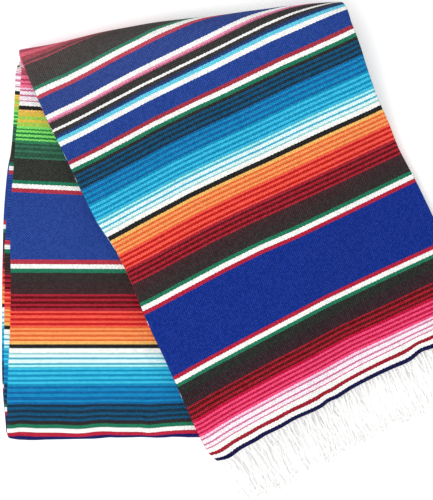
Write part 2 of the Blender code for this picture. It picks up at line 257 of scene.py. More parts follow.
# Where the stripes run, in units of the photograph's frame. Those on the front are measured down the
# panel from PANEL_CORNER, and one unit is FRONT_UNIT millimetres of cloth. SKEW says how far they
# stray from a straight line, by the place down and right on the panel.
PANEL_CORNER = np.array((20.0, 50.0))
PANEL_DOWN = np.array((0.4345, 0.9007))
PANEL_RIGHT = np.array((0.9007, -0.4345))
HEM_READING = 452.0
FRONT_UNIT = 1.1927
BACK_UNIT = 1.2176
BACK_COLUMN = 60.0
BACK_READING = 343.7
SKEW_COLUMNS = ("down", 2, 14, 30, 60, 90, 130, 170, 230, 290)
SKEW = (
    (25, 0.6, 1.6, 2.6, 1.9, 1.5, 2.3, -0.3, -0.5, 1.2),
    (45, 1.4, 1.7, 2.3, 1.4, 0.0, -1.0, -0.7, -0.9, 1.2),
    (60, 1.7, 1.8, 2.1, 0.9, -0.3, -0.9, -0.8, -1.2, 1.2),
    (95, 2.6, 2.7, 2.1, 1.1, 0.0, -0.3, -0.4, -1.1, 0.9),
    (125, 2.7, 2.7, 2.5, 1.4, 0.3, 0.2, 1.0, 1.0, 2.8),
    (205, 3.7, 3.2, 2.2, 1.1, -0.1, 0.2, 1.1, 1.8, 3.6),
    (250, 3.7, 3.5, 3.2, 1.6, 0.5, 0.3, 1.2, 2.4, 2.7),
    (285, 4.0, 3.9, 3.1, 1.9, 0.7, 0.3, 2.1, 2.4, 2.3),
    (355, 6.3, 5.5, 4.4, 3.0, 1.8, 0.6, -0.7, -0.3, 1.1),
    (385, 5.6, 4.9, 4.1, 3.0, 1.7, 0.7, -0.8, 0.0, 0.4),
    (415, 7.7, 6.3, 4.8, 3.3, 1.9, 0.6, -1.5, 0.0, 1.5),
    (446, 7.2, 5.4, 3.8, 1.9, 0.8, -0.3, -2.8, -4.8, -6.5),
)
# The tilt of the stripes on the back, by the reading at BACK_COLUMN: reading, degrees, offset
TILT = (
    (60, 3.4, -0.3), (88, 3.3, -1.0), (105, 3.2, 0.2), (140, 3.4, -0.2), (186, 2.7, -0.1), (200, 2.5, 0.0),
    (258, 0.3, -0.4), (300, 0.0, -1.5), (330, 0.0, -0.8), (354, 0.0, -0.3), (378, -0.3, 0.3),
    (390, -0.3, 1.1), (404, -0.3, 0.5), (416, -0.35, 0.2), (426, -0.4, -0.42), (430, -0.4, -0.5),
)

# How far the back's border lines, in the photograph's frame, and its bottom edge wave
BORDER_COLUMNS = ("right", "lines", "edge")
BORDER = (
    (12, 0.0, 1.0), (20, -1.0, 1.1), (28, -0.6, 1.7), (36, 0.0, 1.8), (44, 0.0, 1.3), (60, 0.2, 1.2),
    (68, 0.6, 1.1), (76, 0.9, 1.0), (84, 0.7, 1.0), (92, -0.2, 1.0), (100, -0.8, 0.4), (108, -0.8, -0.6),
    (116, -0.3, -0.2), (132, 0.0, -0.2), (140, 0.0, -0.5), (148, 0.8, 0.0), (156, 0.3, 0.6), (164, -0.6, 0.5),
    (172, -1.0, -0.2), (180, -1.5, 0.0), (188, -1.8, 0.6),
)
BORDER_READING = 390.0
BORDER_SPAN = 30.0


def border_wave(name, seen):
    table = np.array(BORDER, float)
    return np.interp(seen[..., 0], table[:, 0], table[:, BORDER_COLUMNS.index(name)])


def seen_at(points):
    """Place in the photograph's frame of points in the plan."""
    scale = LEAST_SCALE * (CAMERA_HEIGHT - points[..., 2])
    return np.stack([
        FRAME_WIDTH / 2 + points[..., 0] / scale,
        FRAME_HEIGHT / 2 - points[..., 1] / scale,
    ], axis=-1)


def front_length(points):
    """Cloth length from the hem of points on top of the front stretch."""
    seen = seen_at(points) - PANEL_CORNER
    right, down = seen @ PANEL_RIGHT, seen @ PANEL_DOWN
    table = np.array([row[1:] for row in SKEW], float)
    rows = np.array([row[0] for row in SKEW], float)
    columns = np.array(SKEW_COLUMNS[1:], float)
    place_row = np.interp(down, rows, np.arange(len(rows)))
    place_column = np.interp(right, columns, np.arange(len(columns)))
    row = np.minimum(place_row.astype(int), len(rows) - 2)
    column = np.minimum(place_column.astype(int), len(columns) - 2)
    part_row, part_column = place_row - row, place_column - column
    upper = blend(table[row, column], table[row, column + 1], part_column)
    lower = blend(table[row + 1, column], table[row + 1, column + 1], part_column)
    return (HEM_READING + blend(upper, lower, part_row) - down) * FRONT_UNIT


def back_length(points):
    """Cloth length from the hem of points on the back stretch."""
    seen = seen_at(points)
    rows, degrees, offsets = zip(*TILT)
    slope = np.tan(np.radians(np.interp(seen[..., 1], rows, degrees)))
    reading = seen[..., 1] - slope * (seen[..., 0] - BACK_COLUMN)
    reading = reading + np.interp(reading, rows, offsets)
    reading = reading - border_wave("lines", seen) * smooth((reading - BORDER_READING) / BORDER_SPAN)
    return CHART_OF_BACK + (reading - BACK_READING) * BACK_UNIT


# Yarns, by the colour each shows in the photograph's light
YARNS = {
    "white": (253, 253, 250), "black": (42, 41, 40), "charcoal": (50, 47, 48), "navy": (24, 28, 72),
    # Painted shade: the deepest blue, for the middle band, is darker where the cloth curves under at the
    # bottom fold
    "fold-shaded blue": (22, 24, 92), "ink": (52, 60, 88), "harbour": (42, 72, 128), "blue": (24, 52, 140),
    # Painted light: the second blue on the next line, the paler green after it and the greyish black below
    # stand in for a pale veil of light near the top fold
    "royal": (44, 71, 148), "veil-lit blue": (55, 75, 143), "green": (40, 122, 92),
    "veil-lit green": (62, 128, 104), "red": (184, 40, 64), "paler red": (182, 58, 74), "rust": (168, 56, 72),
    "border red": (158, 34, 50), "brick": (196, 76, 94), "pink": (236, 148, 180),
    "deep pink": (192, 100, 130), "cyan": (104, 208, 235), "veil-lit black": (61, 58, 58),
    # the fire half
    "amber": (249, 190, 106), "apricot": (253, 160, 98), "orange": (230, 106, 55), "coral": (249, 92, 76),
    "scarlet": (196, 36, 36), "crimson": (172, 40, 56), "maroon": (98, 24, 30), "umber": (67, 45, 48),
    "peat": (61, 47, 49), "soil": (56, 51, 50),
    # the sky half
    "ice": (228, 253, 253), "frost": (178, 248, 252), "mist": (148, 206, 210), "aqua": (74, 178, 204),
    "sky": (62, 194, 232), "teal": (0, 144, 188), "azure": (14, 140, 194), "cobalt": (0, 102, 160),
    "deep": (28, 84, 122), "slate": (34, 54, 70),
    # the rose half
    "blush": (254, 240, 249), "petal": (251, 210, 232), "orchid": (208, 118, 152),
    "hot pink": (245, 80, 130), "ruby": (192, 22, 60), "garnet": (164, 34, 50), "wine": (88, 14, 20),
    "dusk": (61, 40, 45), "ember": (54, 42, 46), "coal": (47, 49, 47),
    # the rose half round the top fold, with painted light: lighter, greyer yarns stand in for the pale veil of
    # light on the roll's crest
    "warm pink": (250, 126, 160), "warm rose": (214, 80, 114), "dim rose": (196, 76, 104),
    "crest-lit rose": (230, 108, 128), "clay": (170, 83, 93), "tan": (108, 73, 77), "hazel": (79, 72, 70),
    "stone": (76, 70, 69), "ash": (75, 73, 71),
    # the leaf half
    "marigold": (240, 190, 100), "ochre": (224, 194, 78), "lime": (168, 211, 88),
    "chartreuse": (184, 208, 78), "spring": (134, 230, 114), "grass": (62, 150, 66),
    "leaf": (38, 126, 60), "fern": (54, 130, 88), "pine": (62, 116, 92), "moss": (50, 90, 70),
    "olive": (55, 58, 52),
}

# The shaded halves of the pattern, each a row of weft lines from its light end to its dark end
FIRE = (
    ("amber", 3.8), ("orange", 2.2), ("apricot", 2.7), ("orange", 2.8), ("apricot", 2.8), ("orange", 2.5),
    ("apricot", 1.9), ("orange", 1.6), ("coral", 2.1), ("scarlet", 2.7), ("coral", 2.5), ("scarlet", 3.1),
    ("coral", 3.3), ("scarlet", 2.8), ("coral", 2.1), ("crimson", 3.5), ("maroon", 2.5), ("crimson", 2.6),
    ("maroon", 3.0), ("crimson", 2.9), ("maroon", 2.8), ("crimson", 2.3), ("umber", 6.0), ("peat", 8.0),
    ("soil", 9.8),
)
SKY = (
    ("white", 5.3), ("mist", 1.9), ("ice", 3.3), ("aqua", 2.3), ("ice", 4.1), ("aqua", 2.5), ("frost", 2.1),
    ("aqua", 1.5), ("sky", 1.9), ("teal", 2.4), ("sky", 2.7), ("teal", 3.0), ("sky", 2.9), ("teal", 2.7),
    ("sky", 2.7), ("teal", 3.0), ("cobalt", 2.8), ("azure", 3.2), ("cobalt", 2.8), ("azure", 3.3),
    ("cobalt", 3.3), ("azure", 2.3), ("cobalt", 2.6), ("slate", 2.8), ("deep", 3.2), ("slate", 3.4),
    ("deep", 2.9), ("slate", 2.7), ("deep", 2.7), ("charcoal", 4.1),
)
ROSE = (
    ("white", 1.6), ("orchid", 1.4), ("blush", 4.2), ("orchid", 2.2), ("blush", 4.8), ("orchid", 2.2),
    ("petal", 2.7), ("hot pink", 3.4), ("ruby", 2.1), ("hot pink", 2.6), ("ruby", 2.7), ("hot pink", 2.6),
    ("ruby", 2.5), ("hot pink", 2.6), ("ruby", 3.6), ("wine", 1.8), ("garnet", 2.9), ("wine", 2.9),
    ("garnet", 2.8), ("wine", 3.2), ("garnet", 1.8), ("dusk", 6.6), ("ember", 9.0), ("coal", 10.8),
)
# Painted light: the rose half on the roll's crest, its yarns made lighter and greyer for the pale veil of
# light there
CREST_LIT_ROSE = (
    ("white", 1.9), ("orchid", 1.4), ("blush", 5.0), ("orchid", 2.2), ("blush", 4.3), ("orchid", 2.2),
    ("petal", 2.2), ("warm pink", 3.7), ("warm rose", 2.0), ("warm pink", 2.6), ("dim rose", 2.5),
    ("warm pink", 3.7), ("clay", 2.5), ("dim rose", 2.1), ("clay", 1.6), ("crest-lit rose", 6.0), ("clay", 5.7),
    ("tan", 3.2), ("clay", 1.8), ("hazel", 6.6), ("stone", 9.0), ("ash", 10.8),
)
LEAF = (
    ("marigold", 2.6), ("ochre", 5.0), ("lime", 4.0), ("ochre", 3.6), ("lime", 2.8), ("chartreuse", 1.9),
    ("spring", 2.9), ("grass", 2.0), ("spring", 2.6), ("leaf", 2.3), ("spring", 2.9), ("leaf", 2.3),
    ("spring", 2.2), ("fern", 3.7), ("moss", 2.4), ("pine", 2.6), ("moss", 3.2), ("pine", 2.8), ("moss", 5.4),
    ("pine", 2.2), ("olive", 26.4),
)

# The cloth from its hem to its middle: yarn or shaded half, its length, and whether it runs backwards
BANDS = (
    ("navy", 5.5, False), ("white", 5.2, False), ("border red", 4.6, False), ("white", 4.2, False),
    (ROSE, 82.6, False), ("green", 4.3, False), ("white", 5.3, False), ("red", 4.8, False),
    ("blue", 78.5, False), ("red", 4.6, False), ("white", 5.6, False), ("green", 4.5, False),
    (FIRE, 81.9, True), ("black", 5.8, False), (SKY, 85.6, False), ("green", 4.5, False),
    ("white", 5.3, False), ("rust", 4.7, False), ("royal", 19.6, False), ("white", 5.6, False),
    # Painted light: from the greyish black lines up to the top fold and over its crest, lighter yarns stand in
    # for a pale veil of light there
    ("cyan", 4.7, False), ("harbour", 2.7, False), ("ink", 2.7, False), ("veil-lit black", 3.4, False),
    ("white", 3.0, False), ("veil-lit black", 8.6, False), ("deep pink", 1.7, False), ("pink", 2.6, False),
    ("white", 5.5, False), ("veil-lit blue", 20.7, False), ("brick", 4.7, False), ("white", 6.5, False),
    ("veil-lit green", 4.0, False), (CREST_LIT_ROSE, 85.0, True),
    ("white", 3.4, False), ("black", 4.9, False), (LEAF, 85.3, False), ("green", 4.4, False),
    # The red lines on each side of this blue use a paler red
    ("white", 5.2, False), ("paler red", 5.1, False), ("royal", 79.5, False), ("paler red", 5.4, False),
    ("white", 5.2, False), ("green", 4.9, False), (FIRE, 87.3, True), ("black", 5.0, False),
    (SKY, 93.0, False), ("green", 4.4, False), ("white", 4.9, False), ("red", 4.5, False),
    # Painted shade: the middle band's blue is darkened where the cloth curves under at the bottom fold
    ("fold-shaded blue", 34.0, False),
)


def chart():
    """The half cloth as weft lines: the place where each ends, and its colour."""
    lines, end = [], 0.0
    for what, length, backwards in BANDS:
        rows = [(what, length)] if isinstance(what, str) else list(what)
        stretch = length / sum(width for _, width in rows)
        for yarn, width in reversed(rows) if backwards else rows:
            end += width * stretch
            lines.append((end, YARNS[yarn]))
    return lines


CHART = chart()
CLOTH_MIDDLE = CHART[-1][0]
BANDS_BEFORE_BACK = 45
CHART_OF_BACK = sum(length for _, length, _ in BANDS[:BANDS_BEFORE_BACK])

# How the given yarn colours become surface colours, and the grain of the weave
LIGHT = 1.3
VEIL = 0.0078
DARKEST = 0.001
RAMP_SPAN = 60.0
RIB = 2.175
PICK = 1.25
TEETH = 0.22
DASH_WIDTH = 1.45
DASH_LENGTH = 1.6
DASH_CHANCE = 0.75
SPECK_GAIN = 0.5
MEAN_SPECK = 0.31
CELL_GAIN = 0.12
WARP_GLINT = 0.02


def linear(colour):
    """Surface colour that looks like the given one under the scene's light and the cloth's sheen."""
    shares = [value / 255 for value in colour]
    seen = [share / 12.92 if share <= 0.04045 else ((share + 0.055) / 1.055) ** 2.4 for share in shares]
    return tuple(max(value / LIGHT - VEIL, DARKEST) for value in seen)


class Nodes:
    """A small helper that adds and joins shader nodes."""

    def __init__(self, material):
        material.use_nodes = True
        self.tree = material.node_tree
        self.shader = self.tree.nodes["Principled BSDF"]

    def add(self, kind, **values):
        node = self.tree.nodes.new(kind)
        for name, value in values.items():
            setattr(node, name, value)
        return node

    def join(self, source, target):
        self.tree.links.new(source, target)

    def fill(self, socket, value):
        if isinstance(value, bpy.types.NodeSocket):
            self.join(value, socket)
        else:
            socket.default_value = value

    def math(self, operation, *values):
        node = self.add("ShaderNodeMath", operation=operation)
        for socket, value in zip(node.inputs, values):
            self.fill(socket, value)
        return node.outputs[0]

    def mix(self, factor, first, second, blend_type="MIX"):
        node = self.add("ShaderNodeMix", data_type="RGBA", blend_type=blend_type)
        self.fill(node.inputs[0], factor)
        self.fill(node.inputs[6], first)
        self.fill(node.inputs[7], second)
        return node.outputs[2]

    def noise(self, vector, scale, detail=2.0):
        node = self.add("ShaderNodeTexNoise", noise_dimensions="2D")
        self.join(vector, node.inputs["Vector"])
        node.inputs["Scale"].default_value = scale
        node.inputs["Detail"].default_value = detail
        return node.outputs["Fac"]

    def vector(self, x, y):
        node = self.add("ShaderNodeCombineXYZ")
        self.fill(node.inputs[0], x)
        self.fill(node.inputs[1], y)
        return node.outputs[0]


def ramp_groups():
    """The chart cut into runs short enough for a ramp to keep its edges sharp."""
    groups, start, end = [[]], 0.0, 0.0
    for line in CHART:
        if groups[-1] and line[0] - start > RAMP_SPAN:
            groups.append([])
            start = end
        groups[-1].append(line)
        end = line[0]
    return groups


def striped_colour(nodes, length):
    """The chart's colour at a cloth length."""
    colour, start = None, 0.0
    for lines in ramp_groups():
        end = lines[-1][0]
        share = nodes.math("DIVIDE", nodes.math("SUBTRACT", length, start), end - start)
        ramp = nodes.add("ShaderNodeValToRGB")
        ramp.color_ramp.interpolation = "CONSTANT"
        nodes.join(share, ramp.inputs[0])
        stops = ramp.color_ramp.elements
        stops.remove(stops[1])
        place = start
        for line_end, line_colour in lines:
            stop = stops[0] if place == start else stops.new((place - start) / (end - start))
            stop.color = (*linear(line_colour), 1.0)
            place = line_end
        if colour is None:
            colour = ramp.outputs[0]
        else:
            colour = nodes.mix(nodes.math("GREATER_THAN", length, start), colour, ramp.outputs[0])
        start = end
    return colour


def cloth_material():
    """Weft-faced wool: charted stripes with toothed edges, weave cells, fine ribs and a little sheen."""
    material = bpy.data.materials.new("striped_wool_weave")
    nodes = Nodes(material)
    plan = nodes.add("ShaderNodeUVMap", uv_map="weave")
    parts = nodes.add("ShaderNodeSeparateXYZ")
    nodes.join(plan.outputs[0], parts.inputs[0])
    across = nodes.math("MULTIPLY", parts.outputs[0], 1000.0)
    length = nodes.math("MULTIPLY", parts.outputs[1], 1000.0)

    teeth = nodes.math("PINGPONG", across, RIB)
    teeth = nodes.math("MULTIPLY", nodes.math("SUBTRACT", teeth, RIB / 2), TEETH)
    place = nodes.vector(across, length)
    wander = nodes.math("MULTIPLY", nodes.math("SUBTRACT", nodes.noise(place, 0.035, 3.0), 0.5), 0.2)
    tremble = nodes.math("MULTIPLY", nodes.math("SUBTRACT", nodes.noise(place, 0.35, 1.0), 0.5), 0.7)
    woven = nodes.math("ADD", nodes.math("ADD", length, teeth), nodes.math("ADD", wander, tremble))
    colour = striped_colour(nodes, woven)

    cell = nodes.vector(
        nodes.math("FLOOR", nodes.math("DIVIDE", across, RIB)),
        nodes.math("FLOOR", nodes.math("DIVIDE", woven, PICK)),
    )
    random = nodes.add("ShaderNodeTexWhiteNoise", noise_dimensions="2D")
    nodes.join(cell, random.inputs["Vector"])
    chance = random.outputs["Value"]
    dash = nodes.add("ShaderNodeTexWhiteNoise", noise_dimensions="2D")
    dash_column = nodes.math("FLOOR", nodes.math("DIVIDE", across, DASH_WIDTH))
    dash_row = nodes.math("FLOOR", nodes.math("DIVIDE", woven, DASH_LENGTH))
    nodes.join(nodes.vector(dash_column, dash_row), dash.inputs["Vector"])
    alternating = nodes.math("PINGPONG", nodes.math("ADD", dash_column, dash_row), 1.0)
    speck = nodes.math("ADD", nodes.math("MULTIPLY", dash.outputs["Value"], DASH_CHANCE), 1.0 - DASH_CHANCE)
    speck = nodes.math("MULTIPLY", speck, alternating)
    cell_shade = nodes.math("MULTIPLY", chance, CELL_GAIN)
    shade = nodes.math("ADD", cell_shade, nodes.math("MULTIPLY", speck, SPECK_GAIN))
    shade = nodes.math("ADD", shade, 1.0 - CELL_GAIN / 2 - SPECK_GAIN * MEAN_SPECK)
    grey = nodes.vector(shade, shade)
    nodes.join(shade, grey.node.inputs[2])
    colour = nodes.mix(1.0, colour, grey, "MULTIPLY")
    colour = nodes.mix(speck, colour, (WARP_GLINT, WARP_GLINT, WARP_GLINT, 1.0), "ADD")
    nodes.join(colour, nodes.shader.inputs["Base Color"])

    rib = nodes.math("ABSOLUTE", nodes.math("SINE", nodes.math("MULTIPLY", across, math.pi / RIB)))
    alternate = nodes.math("MULTIPLY", nodes.math("FLOOR", nodes.math("DIVIDE", across, RIB)), math.pi)
    pick = nodes.math("SINE", nodes.math("ADD", nodes.math("MULTIPLY", woven, math.pi / PICK), alternate))
    height = nodes.math("ADD", rib, nodes.math("MULTIPLY", pick, 0.5))
    height = nodes.math("ADD", height, nodes.math("MULTIPLY", nodes.noise(place, 1.6, 3.0), 0.6))
    bump = nodes.add("ShaderNodeBump")
    bump.inputs["Strength"].default_value = 0.5
    bump.inputs["Distance"].default_value = 0.0004
    nodes.join(height, bump.inputs["Height"])
    nodes.join(bump.outputs[0], nodes.shader.inputs["Normal"])
    rough = nodes.math("ADD", nodes.math("MULTIPLY", chance, 0.1), 0.85)
    nodes.join(rough, nodes.shader.inputs["Roughness"])
    nodes.shader.inputs["Specular IOR Level"].default_value = 0.04
    nodes.shader.inputs["Sheen Weight"].default_value = 0.02
    nodes.shader.inputs["Sheen Roughness"].default_value = 0.5
    return material


def cotton_material():
    """Soft white cotton yarn with fine fibres along it."""
    material = bpy.data.materials.new("warp_cotton_yarn")
    nodes = Nodes(material)
    place = nodes.add("ShaderNodeTexCoord")
    noise = nodes.add("ShaderNodeTexNoise")
    nodes.join(place.outputs["Object"], noise.inputs["Vector"])
    noise.inputs["Scale"].default_value = 900.0
    noise.inputs["Detail"].default_value = 3.0
    colour = nodes.mix(noise.outputs["Fac"], (0.93, 0.93, 0.915, 1.0), (0.99, 0.99, 0.98, 1.0))
    nodes.join(colour, nodes.shader.inputs["Base Color"])
    bump = nodes.add("ShaderNodeBump")
    bump.inputs["Strength"].default_value = 0.4
    bump.inputs["Distance"].default_value = 0.0002
    nodes.join(noise.outputs["Fac"], bump.inputs["Height"])
    nodes.join(bump.outputs[0], nodes.shader.inputs["Normal"])
    nodes.shader.inputs["Roughness"].default_value = 0.9
    nodes.shader.inputs["Specular IOR Level"].default_value = 0.1
    nodes.shader.inputs["Sheen Weight"].default_value = 0.2
    return material


def add_piece(name, points, faces, material, nodes, corner_uv=None):
    """Make a smooth mesh from points in the plan, and have it stand for nodes of the frame."""
    mesh = bpy.data.meshes.new(name)
    faces = np.asarray(faces)
    points = (np.asarray(points, float) - MIDDLE) * MM
    mesh.vertices.add(len(points))
    mesh.vertices.foreach_set("co", points.ravel())
    mesh.loops.add(faces.size)
    mesh.loops.foreach_set("vertex_index", faces.ravel())
    mesh.polygons.add(len(faces))
    mesh.polygons.foreach_set("loop_start", np.arange(len(faces)) * faces.shape[1])
    if corner_uv is not None:
        layer = mesh.uv_layers.new(name="weave")
        layer.data.foreach_set("uv", (np.asarray(corner_uv) * MM).ravel())
    mesh.update(calc_edges=True)
    mesh.validate()
    mesh.shade_smooth()
    mesh.materials.append(material)
    piece = bpy.data.objects.new(name, mesh)
    bpy.context.scene.collection.objects.link(piece)
    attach(piece, BODY)
    if nodes:
        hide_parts(*nodes)
    return piece


def grid_faces(rows, columns):
    """Quads of a grid of points, row by row."""
    row, column = np.meshgrid(np.arange(rows - 1), np.arange(columns - 1), indexing="ij")
    first = (row * columns + column).ravel()
    return np.stack([first, first + columns, first + columns + 1, first + 1], axis=-1)


# Side edges of the cloth: it rounds down and a little under
LIP_RADIUS = 2.2
LIP_DOWN = 3.2
LIP_END = 0.6
LIP_TUCK = 1.4
COLUMN_PITCH = 1.0875


def edge_columns(width):
    """Places across a stretch, how far each lies under the cloth's face, and how far it is tucked in."""
    steps = int(round(width / COLUMN_PITCH / 2)) * 2
    inner = np.linspace(0.0, 1.0, steps + 1)[2:-2]
    lip = np.array((0.0, 0.25, 0.7, 1.3)) / width
    across = np.concatenate([[0.0, 0.0], lip, inner, 1.0 - lip[::-1], [1.0, 1.0]])
    inside = np.minimum(across, 1.0 - across) * width
    under = LIP_RADIUS - np.sqrt(np.maximum(LIP_RADIUS ** 2 - np.maximum(LIP_RADIUS - inside, 0.0) ** 2, 0.0))
    tuck = np.zeros_like(across)
    tuck[[0, -1]] = LIP_TUCK
    under[[0, -1]] = LIP_DOWN + LIP_END
    under[[1, -2]] = LIP_DOWN
    return across, under, tuck


def ripple(across, length):
    """Small unevenness of a hand-woven cloth that lies on other layers."""
    return (
        0.35 * np.sin(length / 31.0 + 2.1 * np.sin(across * 5.0))
        + 0.25 * np.sin(across * 17.0 + length / 47.0)
        + 0.18 * np.sin(across * 41.0 - length / 23.0)
    )


def tucked(points, normals, under, tuck):
    """Points lowered under the cloth's face and drawn in at the side edges."""
    across_way = points[-1] - points[0]
    across_way = across_way / np.linalg.norm(across_way)
    side = np.where(np.arange(len(points)) < len(points) / 2, 1.0, -1.0)
    return points - normals * under[:, None] + across_way * (tuck * side)[:, None]


def front_rows():
    """Rows of the outer cloth: points, cloth lengths, outward normals."""
    across, under, tuck = edge_columns(WIDTH)
    rows, lengths = [], []
    up, down = np.array((0.0, 0.0, 1.0)), np.array((0.0, 0.0, -1.0))
    near_hem = np.array((0.0, 0.0, 0.0, 0.3, 1.0, 2.2)) / 480.0
    shares = np.concatenate([near_hem, np.linspace(0.0, 1.0, 160)[1:-1]])
    hem_under = np.concatenate([[LIP_DOWN + 1.4, LIP_DOWN, LIP_RADIUS], (1.1, 0.35, 0.0), np.zeros(158)])
    for share, lowered in zip(shares, hem_under):
        high = front_heights(across, share)[1]
        place = wavy_front_plan(across, share)
        from_hem = (wavy_front_plan(across, 0.0) - place) @ HEM_OUT
        length = blend(from_hem, front_length(flat_points(place, high)), smooth(from_hem / HEM_SETTLE))
        lift = ripple(across, length) * smooth(share * 12.0)
        points = flat_points(place, high + lift - lowered)
        rows.append(tucked(points, up, under, tuck))
        lengths.append(length)
    crest = front_heights(across, 1.0)[1]
    start = front_length(flat_points(front_plan(across, 1.0), crest))
    for turn in np.linspace(0.0, 1.0, 34):
        place, outward, radius = roll_plan(across, turn)
        angle = math.pi * turn
        normal = flat_points(outward * math.sin(angle), math.cos(angle))
        length = start + math.pi * radius * turn
        lift = ripple(across, length) * (1.0 - turn)
        centre = flat_points(place, radius)
        rows.append(tucked(centre + normal * (radius + lift)[:, None], normal, under * (1.0 - turn), tuck))
        lengths.append(length)
    start = start + math.pi * fold_value("radius", across)
    ground = roll_plan(across, 1.0)[0]
    for share in np.linspace(0.0, 1.0, 26)[1:]:
        place = back_plan(across, share)
        rows.append(flat_points(place, 0.0))
        lengths.append(start + np.linalg.norm(place - ground, axis=-1))
    return across, np.array(rows), np.array(lengths)


def mirrored(length):
    """Past its middle the cloth repeats itself backwards."""
    return CLOTH_MIDDLE - np.abs(CLOTH_MIDDLE - length)


def grid_uv(faces, across, lengths, width):
    """Weave coordinates of each face corner of a grid."""
    flat = np.stack(np.broadcast_arrays(across[None, :] * width, lengths), axis=-1).reshape(-1, 2)
    return flat[faces]


def front_cloth(material):
    across, rows, lengths = front_rows()
    faces = grid_faces(len(rows), len(across))[:, ::-1]
    uv = grid_uv(faces, across, mirrored(lengths), WIDTH)
    return add_piece("front_cloth", rows.reshape(-1, 3), faces, material, ["front_stretch"], uv)


BACK_WIDTH = 330.0


def back_rows():
    """Rows of the back's top cloth, from the crease down, round its bottom fold and a little under."""
    across, under, tuck = edge_columns(BACK_WIDTH)
    up = np.array((0.0, 0.0, 1.0))
    rows, lengths = [], []
    for share in np.linspace(0.012, 1.0, 150):
        place = back_plan(across, share, "top")
        length = back_length(flat_points(place, STACK))
        points = flat_points(place, STACK + 0.6 * ripple(across, length + 300.0))
        rows.append(tucked(points, up, under, tuck))
        lengths.append(length)
    start = lengths[-1]
    inside = np.minimum(across, 1.0 - across) * np.linalg.norm(BOTTOM_RIGHT - BOTTOM_LEFT)
    inset = CORNER_INSET / 2 * (1.0 - np.clip(inside / CORNER_ROUND, 0.0, 1.0)) ** 2
    edge = border_wave("edge", seen_at(rows[-1]))
    for step in np.linspace(0.0, 1.0, 15)[1:]:
        turn = 1.0 - step
        place = line_between(BOTTOM_LEFT, BOTTOM_RIGHT, across)
        left = blend(edge_value("floor", BOTTOM_LEFT[1]), edge_value("top", BOTTOM_LEFT[1]), turn)
        angle = math.pi * turn
        reach = (FOLD_RADIUS - inset + edge) * math.sin(angle)
        points = np.stack([
            place[:, 0] + (left - BOTTOM_LEFT[0]) * (1.0 - across) ** EDGE_FADE,
            place[:, 1] - GAP - reach,
            FOLD_RADIUS - FOLD_RADIUS * math.cos(angle) + 0.0 * across,
        ], axis=-1)
        outward = np.stack([0.0 * across, -math.sin(angle) + 0.0 * across], axis=-1)
        normal = flat_points(outward, -math.cos(angle))
        rows.append(tucked(points, normal, under * turn, tuck))
        lengths.append(start + math.pi * FOLD_RADIUS * step)
    return across, np.array(rows), np.array(lengths)


def back_cloth(material):
    across, rows, lengths = back_rows()
    faces = grid_faces(len(rows), len(across))
    uv = grid_uv(faces, across, mirrored(lengths), BACK_WIDTH)
    return add_piece("back_cloth", rows.reshape(-1, 3), faces, material, ["back_stretch"], uv)


# Hidden layers: side profile, from the outer cloth inwards, as depth, way out, edge and layer
LEDGES = (
    (0.00, -2.0, "floor", 1), (0.02, -0.6, "floor", 1), (0.08, 0.2, "floor", 1), (0.14, -0.5, "floor", 1),
    (0.165, -1.8, "floor", 1),
    (0.19, -0.9, "floor", 2), (0.25, -0.1, "floor", 2), (0.31, -0.8, "floor", 2), (0.335, -2.0, "floor", 2),
    (0.36, -0.8, "third", 3), (0.42, 0.3, "third", 3), (0.48, -0.6, "third", 3), (0.50, -1.8, "third", 3),
    (0.52, -1.0, "third", 4), (0.58, -0.2, "third", 4), (0.64, -0.9, "third", 4), (0.665, -2.0, "third", 4),
    (0.69, -0.8, "second", 5), (0.75, 0.2, "second", 5), (0.81, -0.6, "second", 5), (0.835, -1.8, "second", 5),
    (0.86, -0.7, "second", 6), (0.91, 0.1, "second", 6), (0.96, -0.5, "second", 6), (1.00, -1.5, "top", 6),
)
FRONT_LEDGES = {"top": 0.0, "second": 1.2, "third": -0.6, "floor": 0.6}
# How far the stripes of the second and the third edge run ahead, by the reading on the back
SHIFTS = (
    (60, 15.0, 30.0), (107, 15.3, 31.0), (181, 17.6, 34.0), (265, 19.0, 41.0), (345, 19.4, 42.4),
    (430, 20.7, 44.0),
)


def layer_shift(edge, reading):
    rows = np.array(SHIFTS, float)
    if edge == "second":
        return np.interp(reading, rows[:, 0], rows[:, 1])
    if edge == "third":
        return np.interp(reading, rows[:, 0], rows[:, 2])
    return np.interp(reading, rows[:, 0], rows[:, 1]) * 0.5 if edge == "floor" else 0.0 * reading


def layered_ring(outer, inner, left_shift, right_shift):
    """A ring round the hidden layers, with a rounded ledge for each layer at both sides."""
    leftward = (outer[0] - outer[-1]) / np.linalg.norm(outer[0] - outer[-1])
    left, right = [], []
    for depth, out, edge, layer in LEDGES:
        left.append(blend(outer[0], inner[0], depth) + leftward * (out + left_shift(edge, depth)))
        right.append(blend(outer[-1], inner[-1], depth) - leftward * (out + right_shift(edge, depth)))
    return np.array(left[::-1] + list(outer[1:-1]) + right + list(inner[-2:0:-1]))


def front_shift(edge, _depth):
    return FRONT_LEDGES[edge]


